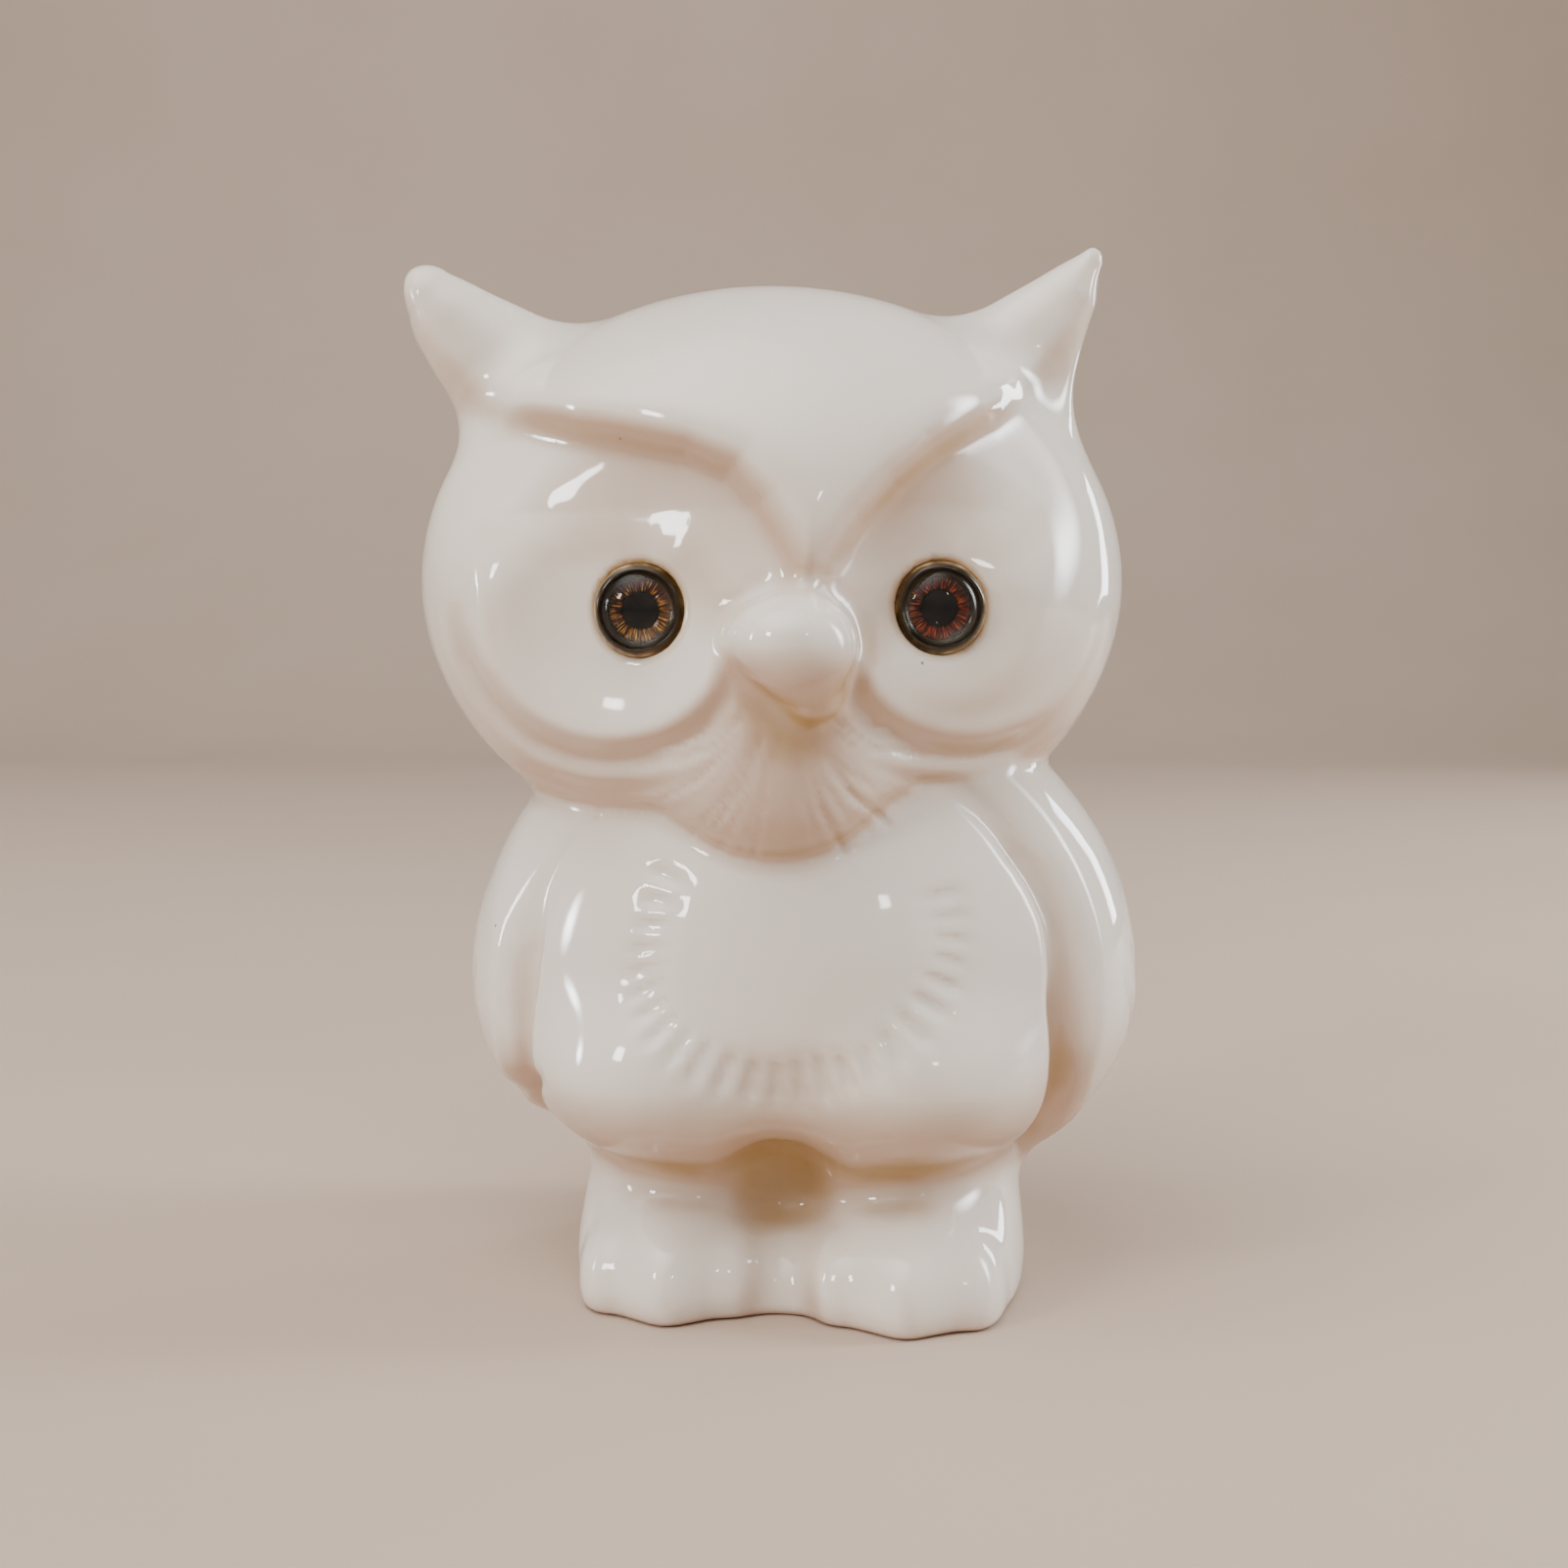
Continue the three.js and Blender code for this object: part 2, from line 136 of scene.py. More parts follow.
def ellipsoid(p, centre, half, lean=0.0):
    """lean tips the top backwards, in degrees about X."""
    c, s = math.cos(math.radians(lean)), math.sin(math.radians(lean))
    q = (p - np.array(centre)) @ np.array([[1, 0, 0], [0, c, -s], [0, s, c]])
    half = np.array(half)
    near = length(q / half) + 1e-9
    return near * (near - 1) / (length(q / half ** 2) + 1e-9)


def horn(p, a, b, ra, rb):
    """A rounded cone from a to b, its radius running from ra to rb."""
    a, b = np.array(a, float), np.array(b, float)
    t = np.clip((p - a) @ (b - a) / ((b - a) @ (b - a)), 0, 1)
    return length(p - a - t[:, None] * (b - a)) - (ra + (rb - ra) * t)


def turned(p, degrees):
    """The points in a frame turned about Z."""
    c, s = math.cos(math.radians(degrees)), math.sin(math.radians(degrees))
    return p @ np.array([[c, -s, 0], [s, c, 0], [0, 0, 1]])


def stroke(u, v, start, end, width):
    """Height 1 on a line drawn in the plane (u, v), fading to 0 over about its width."""
    a, b = np.array(start, float), np.array(end, float)
    pu, pv = u - a[0], v - a[1]
    t = np.clip((pu * (b - a)[0] + pv * (b - a)[1]) / ((b - a) @ (b - a)), 0, 1)
    away = (pu - t * (b - a)[0]) ** 2 + (pv - t * (b - a)[1]) ** 2
    return np.exp(-away / width ** 2) * np.sqrt(np.clip(4 * t * (1 - t) + 0.15, 0, 1))


# ---------------------------------------------------------------- the owl's forms


def ears(p):
    left = horn(p, (-24.5, -1, 84.2), (-34.7, -4.5, 93.8), 8.0, 2.9)
    left = union(left, horn(p, (-25.5, -2, 79.5), (-33.6, -4, 90.5), 5.0, 3.4), 3)
    right = horn(p, (17.2, 0, 84.6), (28.0, -4.5, 96.9), 7.7, 1.4)
    right = union(right, horn(p, (21.4, -2, 79.5), (26.9, -4, 93), 5.2, 2.0), 3)
    return np.minimum(left, right)


DISH_RADIUS, DISH_DEPTH = 26.0, 4.7
DISHES = (
    ((-16.8, -24.9, 63.9), (-0.40, -0.91, -0.10)),
    ((15.6, -25.2, 64.2), (0.40, -0.91, -0.10)),
)


# rings below each eye: depth, distance from the dish's middle, and width
LIP_RINGS = ((1.0, 12.9, 1.2), (-0.45, 10.9, 1.3), (0.3, 15.8, 0.8), (0.2, 18.2, 0.7))


def dishes(form, p):
    """Scoops the round hollow that surrounds each eye."""
    for middle, facing in DISHES:
        facing = np.array(facing) / np.linalg.norm(facing)
        centre = np.array(middle) + facing * (DISH_RADIUS - DISH_DEPTH)
        soft = 1.3 + 3.7 * np.clip((p[:, 2] - middle[2] - 2) / 7, 0, 1)
        form = cut(form, ball(p, centre, DISH_RADIUS), soft)
    return form


def brow_drop(p):
    """How far below the brow line in the front view, negative above it."""
    x, z = p[:, 0], p[:, 2]
    away = np.full(len(p), np.inf)
    for a, b in zip(BROW, BROW[1:]):
        dx, dz = b[0] - a[0], b[1] - a[1]
        t = np.clip(((x - a[0]) * dx + (z - a[1]) * dz) / (dx * dx + dz * dz), 0, 1)
        away = np.minimum(away, (x - a[0] - t * dx) ** 2 + (z - a[1] - t * dz) ** 2)
    return np.copysign(np.sqrt(away), np.interp(x, *np.array(BROW).T) - z)


def lips(p):
    """The rolled lower rim of each dish: how much lower the clay lies there, in mm."""
    depth = np.zeros(len(p))
    for middle, _ in DISHES:
        dx, dz = (p[:, 0] - middle[0]) / 1.08, p[:, 2] - middle[2]
        away = np.sqrt(dx * dx + dz * dz)
        fade = np.clip((1.5 - dz) / 6, 0, 1) * np.clip((-p[:, 1] - 8) / 5, 0, 1)
        fade *= np.clip((np.abs(p[:, 0] + 0.5) - 4.5) / 2.5, 0, 1)
        for deep, at, width in LIP_RINGS:
            depth += deep * np.exp(-((away - at) / width) ** 2) * fade
    return depth


def head(p):
    local = turned(p - np.array(HEAD_CENTRE), HEAD_TURN)
    horns = ears(p)
    form = union(ellipsoid(local, (0, 0, 0), HEAD_HALF), horns + EAR_STEP, 4)
    form = dishes(form, p)
    form = form + np.where(np.abs(form) < 5, lips(p), 0)

    drop = brow_drop(p)
    # a trough under each brow, fading out towards the beak and where the ears begin
    behind = 0.5 * np.clip(p[:, 1] + 17, 0, 17)
    apex = np.exp(-((p[:, 0] - BRIDGE[0]) ** 2 + (p[:, 2] - BRIDGE[1]) ** 2) / 12)
    below = drop - TROUGH_DROP
    # below its middle the trough widens away from the bridge
    reach = 1.5 + 0.9 * np.clip((np.abs(p[:, 0] - BRIDGE[0]) - 6) / 8, 0, 1) * (below > 0)
    away = np.sqrt((form - 0.2) ** 2 + (below / reach) ** 2 + behind ** 2)
    form = cut(form, away - TROUGH_RADIUS + 2.4 * apex, 3.5)
    cap_half = (HEAD_HALF[0], HEAD_HALF[1] + BROW_RISE, HEAD_HALF[2] + CAP_RISE)
    cap = union(ellipsoid(local, (0, 0, 0), cap_half), horns, 4)
    # the brow's edge is rounder at the bridge than up on the ears
    rolled = 5 - 3 * np.clip((p[:, 2] - 81) / 8, 0, 1)
    form = union(form, common(cap, union(drop - 0.2 * rolled, -p[:, 1] - 1, 2), rolled), 1.5)

    form = union(form, ellipsoid(p, (-1.4, -16.2, 50.5), (9.8, 9.2, 9.6), -18), 5)
    knob = ellipsoid(p, (-0.3, -27.0, 61.6), (5.2, 5.6, 3.8))
    tip = horn(p, (0.8, -27.9, 59.8), (1.5, -26.6, 57.2), 3.5, 2.4)
    return union(form, union(knob, tip, 2.6), 2.4)


def wing_outline(local, side):
    """Distance to a folded wing's outline in the side view."""
    y, z = local[:, 1], local[:, 2]
    if side < 0:
        edge = common(-13.6 - y, 20.0 - 0.5 * (y + 13) - z, 5)
    else:
        edge = common(-12.6 - y, np.maximum(18.6 - 0.8 * (y + 11), 10.5) - z, 5)
    return np.where(local[:, 0] * side < 0, 9.0, edge)


def body(p):
    local = turned(p, BODY_TURN)
    egg = local - np.array(BODY_CENTRE)
    egg[:, 2] = np.where(egg[:, 2] > 0, egg[:, 2] / BODY_STRETCH, egg[:, 2])
    form = ellipsoid(egg, (0, 0, 0), BODY_HALF)
    for side in SIDES.values():
        form = union(form, ellipsoid(local, (side * 11.2 + 0.5, -8.2, 22.6), (13.4, 16.6, 9.8)), 3.5)
    form = cut(form, horn(local, (-0.2, -36, 11.0), (-0.2, -16.5, 12.0), 5.4, 3.6), 5.0)

    plain = form
    for side in SIDES.values():
        outline = wing_outline(local, side)
        # the wing is soft at the shoulder and stands proud lower down
        fade = np.clip((local[:, 2] - (33 if side < 0 else 42)) / 11, 0, 1)
        broad = 1.1 * np.clip((36 - local[:, 2]) / 8, 0, 1) if side > 0 else 0
        groove = np.sqrt((plain - 0.2) ** 2 + outline ** 2) - 1 - broad + 1.4 * fade
        wing = common(plain - WING_RISE + 0.5 * fade, outline, 1.6 + (5.5 if side < 0 else 3.5) * fade)
        wing = common(wing, 4 - local[:, 0] * side, 1.5)
        form = union(cut(form, groove, 1.8), wing, 1 + 2 * fade)
    return union(form, ellipsoid(local, (0.3, 19.5, 15.5), (9.5, 5, 12.5), 20), 2.5)


FEET = ((-10.2, -0.4, 10.2), (11.4, -1.9, 10.7))


def feet(p):
    local = turned(p, BODY_TURN)
    form = ellipsoid(local, (0.3, 0.5, 0), (13, 17.8, 10.5))
    for x, forward, half in FEET:
        leg = ellipsoid(local, (x, 1.5, 10), (half, 15.5, 26))
        limb = union(leg, ellipsoid(local, (x, forward - 4.9, 2.4), (half, 15.8, 9.4)), 4)
        for across in (-0.58, 0.0, 0.56):
            y = forward - 1.7 - 15.3 * math.sqrt(1 - across ** 2)
            limb = union(limb, ellipsoid(local, (x + across * half, y, 2.4), (2.7, 4.4, 4.6)), 1.7)
        form = union(form, limb, 2.8)
    return form


# ---------------------------------------------------------------- marks pressed in the clay

BELLY_MARKS = 25
RUFF_MARKS = 25
# painted shade on the glaze: place, reach and how much
SHADES = (
    ((-1.2, -25.0, 51.0), 8.5, 0.55),         # the ruff under the beak
    ((-1.8, -13.0, 11.0), 5.5, 0.42),         # between the legs
    ((9.0, -21.5, 73.0), 4.0, 0.24),          # under the right brow
    ((14.0, -18.5, 77.0), 4.0, 0.20),
    ((4.0, -29.0, 58.0), 3.6, 0.5),           # under the beak's tip
    ((25.5, -14.0, 22.5), 5.0, 0.25),         # below the right wing
    ((11.0, -23.5, 17.5), 6.0, 0.15),         # under the belly
)


def marks(p):
    """Depth of the shallow feather marks, in mm, by their place in the front and side views."""
    local = turned(p, BODY_TURN)
    x, z = local[:, 0], local[:, 2]
    front = np.clip(-(local[:, 1] + 6) / 4, 0, 1)
    depth = np.zeros(len(p))
    for i in range(BELLY_MARKS):
        angle = math.radians(-204 + 222 * i / (BELLY_MARKS - 1) + 1.5 * math.sin(7 * i))
        c, s = math.cos(angle), math.sin(angle)
        reach = 1.0 + 0.5 * math.sin(5 * i)
        inward = 3.0 * max(-c, 0) * min(max(s + 0.9, 0), 1)
        start = (0.6 + (13.2 - 0.5 * reach) * c + inward, 35.7 + (11.3 - 0.5 * reach) * s)
        end = (0.6 + (15.7 + 0.4 * reach) * c + inward, 35.3 + (13.8 + 0.4 * reach) * s)
        depth += 0.42 * stroke(x, z, start, end, 0.75) * front
    hx, hz = p[:, 0], p[:, 2]
    for i in range(RUFF_MARKS):
        spread = 2 * i / (RUFF_MARKS - 1) - 1
        near = 5.5 + 1.5 * math.cos(5 * i)
        far = 15.5 + 1.8 * math.cos(3 * i) - 3.0 * spread ** 2
        split = near + 0.55 * (far - near)
        deep = 0.10 + 0.06 * math.sin(11 * i)
        for bend, low, high in ((0.0, near, split), (9.0, split - 0.6, far)):
            lean = spread * 58 + 3.5 * math.sin(37 * i)
            angles = [math.radians(-90 + lean + spread * bend * part) for part in (0, 1)]
            start = (-1.2 + low * math.cos(angles[0]), 58 + low * math.sin(angles[0]))
            end = (-1.2 + high * math.cos(angles[1]), 58 + high * math.sin(angles[1]))
            depth += deep * stroke(hx, hz, start, end, 0.36) * front
    left_wing = np.clip((-local[:, 0] - 8) / 5, 0, 1)
    depth += 0.6 * stroke(local[:, 1], z, (-17, 21.5), (-3, 17), 0.9) * left_wing
    for side in SIDES.values():
        on_wing = np.clip((local[:, 0] * side - 8) / 5, 0, 1)
        for i in range(4):
            start = (-7 + 3.5 * i, 30 + 2.5 * i)
            end = (6 + 3.8 * i, 15.5 + 2.2 * i)
            depth += 0.35 * stroke(local[:, 1], z, start, end, 0.7) * on_wing
    return depth


# ---------------------------------------------------------------- eyes' places, from the frame


class Eye:
    """One eye's centre line: it starts where the pupil disc's middle is and points outwards."""

    def __init__(self, side):
        low, high = (Vector(corner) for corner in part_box(f"{side}_pupil"))
        yaw = math.radians(EYE_YAW) * SIDES[side]
        self.middle = (low + high) / 2
        self.facing = Vector((math.sin(yaw), -math.cos(yaw), 0))
        self.turn = self.facing.to_track_quat("Z", "Y").to_matrix().to_4x4()

    def in_field(self):
        return np.array(self.middle) / MM + PLAN_CENTRE, np.array(self.facing)

    def place(self, obj):
        obj.matrix_world = Matrix.Translation(self.middle) @ self.turn


EYES = {side: Eye(side) for side in SIDES}


def owl(p):
    form = union(union(head(p), body(p), 1.2), feet(p), 3)
    form = common(form, -p[:, 2], 0.8)
    form = form + np.where(np.abs(form) < 3, marks(p), 0)
    for eye in EYES.values():
        middle, facing = eye.in_field()
        along = (p - middle) @ facing
        away = length(p - middle - along[:, None] * facing)
        form = cut(form, np.maximum(away - SOCKET_RADIUS, SOCKET_FLOOR - along), 0.35)
    vent = np.maximum(length(p[:, :2] - np.array(VENT_PLACE)) - VENT_RADIUS, p[:, 2] - 8)
    core = horn(p, (*VENT_PLACE, CORE_RADIUS), (*VENT_PLACE, 46), CORE_RADIUS, CORE_RADIUS) + WALL
    return cut(form, np.minimum(vent, core), 0.6)


# ---------------------------------------------------------------- from field to mesh


BATCH = 300000                                # lattice points worked out at a time
POOL_REACHES = (0.7, 1.5, 3.0)                # room looked for over creases, mm
SHELTER_REACHES = (5.0, 8.0, 12.0)            # and over larger hollows


def sample(field, low, high, cell, coarse=4):
    """The field on a lattice: found on a coarse one first, then exactly near the surface."""
    low = np.array(low, float)
    count = np.ceil((np.array(high) - low) / (cell * coarse)).astype(int) + 1
    axes = [low[i] + cell * coarse * np.arange(count[i]) for i in range(3)]
    points = np.stack(np.meshgrid(*axes, indexing="ij"), -1).reshape(-1, 3)
    values = field(points).reshape(count)
    for axis in range(3):
        steps = np.arange((count[axis] - 1) * coarse + 1)
        below = np.minimum(steps // coarse, count[axis] - 2)
        shape = [1, 1, 1]
        shape[axis] = -1
        t = (steps / coarse - below).reshape(shape)
        values = np.take(values, below, axis) * (1 - t) + np.take(values, below + 1, axis) * t
    near = np.abs(values) < 1.6 + cell * coarse
    where = np.argwhere(near)
    parts = np.array_split(where, len(where) // BATCH + 1)
    values[near] = np.concatenate([field(low + cell * part) for part in parts])
    return values, low


def surface_nets(values, low, cell):
    """One vertex in every lattice cube that the surface crosses, one quad on every crossed edge."""
    inside = values < 0
    size = np.array(values.shape)
    crossings = sum(
        inside[i:size[0] - 1 + i, j:size[1] - 1 + j, k:size[2] - 1 + k].astype(np.int8)
        for i in (0, 1) for j in (0, 1) for k in (0, 1)
    )
    active = (crossings > 0) & (crossings < 8)
    cubes = np.argwhere(active)
    index = np.full(active.shape, -1)
    index[active] = np.arange(len(cubes))
    total, hits = np.zeros((len(cubes), 3)), np.zeros(len(cubes))
    quads = []
    for axis in range(3):
        one, two = (axis + 1) % 3, (axis + 2) % 3
        step = np.eye(3, dtype=int)
        for a in (0, 1):
            for b in (0, 1):
                start = cubes + a * step[one] + b * step[two]
                v0, v1 = values[tuple(start.T)], values[tuple((start + step[axis]).T)]
                hit = (v0 < 0) != (v1 < 0)
                t = np.where(hit, v0 / np.where(hit, v0 - v1, 1), 0)
                total[hit] += (start + t[:, None] * step[axis])[hit]
                hits[hit] += 1
        front, back = np.delete(inside, -1, axis), np.delete(inside, 0, axis)
        edges = np.argwhere(front != back)
        ring = [index[tuple((edges + i * step[one] + j * step[two]).T)]
                for i, j in ((-1, -1), (0, -1), (0, 0), (-1, 0))]
        quad = np.stack(ring, 1)
        outward = front[tuple(edges.T)]
        quad[~outward] = quad[~outward][:, ::-1]
        quads.append(quad)
    return low + cell * total / hits[:, None], np.concatenate(quads)


def slope(field, p, step=0.03):
    out = np.empty_like(p)
    for axis in range(3):
        ahead = np.eye(3)[axis] * step
        out[:, axis] = (field(p + ahead) - field(p - ahead)) / (2 * step)
    return out


def settle(field, p, quads, cell, rounds):
    """Evens the faces out, then sets each vertex back on the surface."""
    pairs = np.concatenate([quads[:, [i, (i + 1) % 4]] for i in range(4)])
    pairs = np.unique(np.sort(pairs, axis=1), axis=0)
    degree = np.bincount(pairs.ravel(), minlength=len(p))[:, None]
    for _ in range(rounds):
        total = np.stack([
            np.bincount(pairs[:, 0], p[pairs[:, 1], i], len(p))
            + np.bincount(pairs[:, 1], p[pairs[:, 0], i], len(p)) for i in range(3)
        ], 1)
        p = (p + total / degree) / 2
        normal = slope(field, p)
        distance = np.clip(field(p), -cell / 2, cell / 2)
        p = p - normal * (distance / np.maximum((normal ** 2).sum(1), 0.2))[:, None]
    return p


def closeness(p, normal, reaches):
    """0 on open ground to 1 deep in a crease, from how little room there is above the surface."""
    closed = np.zeros(len(p))
    for reach in reaches:
        closed += np.clip(1 - owl(p + normal * reach) / reach, 0, 1) / len(reaches)
    return closed


def around_eyes(p):
    """1 at the edge of an eye socket, fading out over the next millimetre of glaze."""
    ring = np.zeros(len(p))
    for eye in EYES.values():
        middle, facing = eye.in_field()
        along = (p - middle) @ facing
        away = length(p - middle - along[:, None] * facing) - SOCKET_RADIUS
        ring += np.exp(-(away / 0.8) ** 2) * (np.abs(along) < 6)
    return ring


def store(obj, name, values):
    obj.data.attributes.new(name, "FLOAT", "POINT").data.foreach_set("value", values)


def make_mesh(name, vertices, faces):
    """A smooth mesh object from lists of points in metres and of their places in each face."""
    mesh = bpy.data.meshes.new(name)
    mesh.from_pydata(vertices, [], faces)
    mesh.update()
    mesh.polygons.foreach_set("use_smooth", [True] * len(mesh.polygons))
    obj = bpy.data.objects.new(name, mesh)
    bpy.context.scene.collection.objects.link(obj)
    return obj


def make_casting():
    low = np.array(CAD_BOX[0]) / MM + PLAN_CENTRE - 3
    high = np.array(CAD_BOX[1]) / MM + PLAN_CENTRE + 3
    values, low = sample(owl, low, high, CELL)
    points, quads = surface_nets(values, low, CELL)
    points = settle(owl, points, quads, CELL, 2)
    normal = slope(owl, points)
    normal /= length(normal)[:, None]
    in_row = (points - PLAN_CENTRE) * MM
    obj = make_mesh("owl_glazed_casting", in_row.tolist(), quads.tolist())
    # the glaze pools in creases, and this darker colour there is also painted crease shade
    store(obj, "pool_and_crease_shade", closeness(points, normal, POOL_REACHES))
    # painted shade: darker glaze in larger hollows and at the places in SHADES
    hollow_shade = closeness(points, normal, SHELTER_REACHES)
    for place, reach, shade in SHADES:
        hollow_shade += shade * np.exp(-(length(points - np.array(place)) / reach) ** 2)
    store(obj, "hollow_shade", hollow_shade)
    store(obj, "eye_rim", around_eyes(points))
    # painted shade: darker glaze where the surface faces down
    store(obj, "underside_shade", -normal[:, 2])
    return obj


# ---------------------------------------------------------------- node materials


class Nodes:
    """A small helper that wires one Principled material."""

    def __init__(self, name):
        self.material = bpy.data.materials.new(name)
        self.material.use_nodes = True
        self.tree = self.material.node_tree
        self.shader = self.tree.nodes["Principled BSDF"]

    def set(self, **values):
        for name, value in values.items():
            self.shader.inputs[name.replace("_", " ")].default_value = value

    def add(self, kind, **settings):
        node = self.tree.nodes.new(kind)
        for name, value in settings.items():
            if name in node.inputs:
                self.link(value, node.inputs[name])
            else:
                setattr(node, name, value)
        return node

    def link(self, value, socket):
        if isinstance(value, bpy.types.NodeSocket):
            self.tree.links.new(value, socket)
        else:
            socket.default_value = value

    def position(self, scale):
        coordinates = self.add("ShaderNodeTexCoord")
        mapping = self.add("ShaderNodeMapping", Vector=coordinates.outputs["Object"])
        mapping.inputs["Scale"].default_value = (scale, scale, scale)
        return mapping.outputs["Vector"]

    def noise(self, scale, detail):
        node = self.add("ShaderNodeTexNoise", Vector=self.position(scale))
        node.inputs["Scale"].default_value = 1.0
        node.inputs["Detail"].default_value = detail
        return node.outputs["Fac"]

    def remap(self, value, low, high, to_low=0.0, to_high=1.0):
        node = self.add("ShaderNodeMapRange")
        self.link(value, node.inputs["Value"])
        ends = (("From Min", low), ("From Max", high), ("To Min", to_low), ("To Max", to_high))
        for name, number in ends:
            node.inputs[name].default_value = number
        return node.outputs["Result"]

    def math(self, operation, a, b=0.0):
        node = self.add("ShaderNodeMath", operation=operation)
        self.link(a, node.inputs[0])
        self.link(b, node.inputs[1])
        return node.outputs[0]

    def mix(self, factor, a, b):
        node = self.add("ShaderNodeMix", data_type="RGBA")
        self.link(factor, node.inputs["Factor"])
        self.link(a, node.inputs[6])
        self.link(b, node.inputs[7])
        return node.outputs[2]

    def from_axis(self):
        """x, y and distance from the object's own Z axis."""
        coordinates = self.add("ShaderNodeTexCoord").outputs["Object"]
        split = self.add("ShaderNodeSeparateXYZ", Vector=coordinates)
        x, y = split.outputs["X"], split.outputs["Y"]
        squares = self.math("ADD", self.math("MULTIPLY", x, x), self.math("MULTIPLY", y, y))
        return x, y, self.math("SQRT", squares)

    def bump(self, height, distance, strength=1.0):
        node = self.add("ShaderNodeBump", Height=height)
        node.inputs["Distance"].default_value = distance
        node.inputs["Strength"].default_value = strength
        return node.outputs["Normal"]


CREAM = (0.90, 0.83, 0.745, 1)
CREAM_WARM = (0.87, 0.79, 0.68, 1)
TAN = (0.62, 0.43, 0.31, 1)
POOLED_AND_SHADED = (0.55, 0.37, 0.22, 1)
AMBER = (0.46, 0.29, 0.11, 1)
SPECK = (0.16, 0.12, 0.09, 1)
SPECK_SHARE = 0.07                            # share of the cells of the glaze that hold a speck
FLOOR = (0.52, 0.40, 0.31, 1)
FLOOR_WORN = (0.57, 0.45, 0.36, 1)
IRIS_EDGE = (0.05, 0.035, 0.015, 1)
GLASS_TINT = (0.96, 0.92, 0.84, 1)
OLIVE_ENAMEL = (0.022, 0.016, 0.006, 1)
BLACK_ENAMEL = (0.004, 0.004, 0.004, 1)
# the glue, from against the glass outwards
RESIN_DARK = (0.022, 0.015, 0.005, 1)
RESIN_AMBER = (0.13, 0.075, 0.02, 1)
RESIN_THIN = (0.58, 0.42, 0.23, 1)
# each iris: above the pupil, in painted shade, below it, in painted light, and the lightest folds
IRIS_COLOURS = {
    "left": ((0.10, 0.014, 0.004, 1), (0.24, 0.09, 0.006, 1), (0.95, 0.52, 0.07, 1)),
    "right": ((0.10, 0.006, 0.002, 1), (0.24, 0.018, 0.004, 1), (0.85, 0.16, 0.02, 1)),
}
IRIS_FOLDS = 10.0                             # radial folds' fineness


def glaze_material():
    m = Nodes("cream glaze")
    pool_and_crease_shade, hollow_shade, eye_rim, underside_shade = (
        m.add("ShaderNodeAttribute", attribute_name=name).outputs["Fac"]
        for name in ("pool_and_crease_shade", "hollow_shade", "eye_rim", "underside_shade")
    )
    uneven = m.remap(m.noise(140, 3), 0.3, 0.7, -0.04, 0.04)
    colour = m.mix(m.remap(m.noise(45, 2), 0.35, 0.7), CREAM, CREAM_WARM)
    hollow_shaded = m.math("ADD", hollow_shade, uneven)
    shaded = m.math("ADD", m.math("MULTIPLY", hollow_shaded, 0.8), m.math("MULTIPLY", underside_shade, 0.6))
    deep = m.math("ADD", hollow_shaded, m.math("MULTIPLY", underside_shade, 0.2))
    # painted shade: tan where the clay is sheltered and where it faces down, amber in the deepest of
    # it;
    # brown where the glaze pools in creases, which also paints their shade, and amber again round the
    # eyes
    colour = m.mix(m.remap(shaded, 0.08, 0.62, 0.0, 0.95), colour, TAN)
    colour = m.mix(m.remap(deep, 0.64, 0.95, 0.0, 0.9), colour, AMBER)
    colour = m.mix(m.remap(m.math("ADD", pool_and_crease_shade, uneven), 0.3, 0.8, 0.0, 0.85), colour, POOLED_AND_SHADED)
    rim = m.math("ADD", eye_rim, m.math("MULTIPLY", uneven, 4.0))
    colour = m.mix(m.remap(rim, 0.35, 1.0, 0.0, 0.6), colour, AMBER)
    specks = m.add("ShaderNodeTexVoronoi", Vector=m.position(230))
    specks.inputs["Scale"].default_value = 1.0
    drawn = m.add("ShaderNodeSeparateColor", Color=specks.outputs["Color"])
    rare = m.math("GREATER_THAN", drawn.outputs[0], 1 - SPECK_SHARE)
    dot = m.remap(specks.outputs["Distance"], 0.025, 0.045, 0.8, 0.0)
    colour = m.mix(m.math("MULTIPLY", rare, dot), colour, SPECK)
    m.link(colour, m.shader.inputs["Base Color"])
    m.link(m.remap(m.noise(300, 2), 0.3, 0.7, 0.035, 0.075), m.shader.inputs["Roughness"])
    skin = m.bump(m.noise(160, 1), 0.00006, 0.35)
    m.link(skin, m.shader.inputs["Normal"])
    m.set(IOR=1.54, Subsurface_Weight=0.25)
    m.set(Subsurface_Radius=(1.0, 0.7, 0.45), Subsurface_Scale=0.0015)
    return m.material


def plain_material(name, colour, roughness, **extra):
    m = Nodes(name)
    shade = tuple(0.75 * c for c in colour[:3]) + (1,)
    mottled = m.mix(m.remap(m.noise(900, 3), 0.35, 0.65), colour, shade)
    m.link(mottled, m.shader.inputs["Base Color"])
    uneven = m.remap(m.noise(1500, 2), 0.3, 0.7, roughness * 0.8, roughness * 1.2)
    m.link(uneven, m.shader.inputs["Roughness"])
    m.set(**extra)
    return m.material


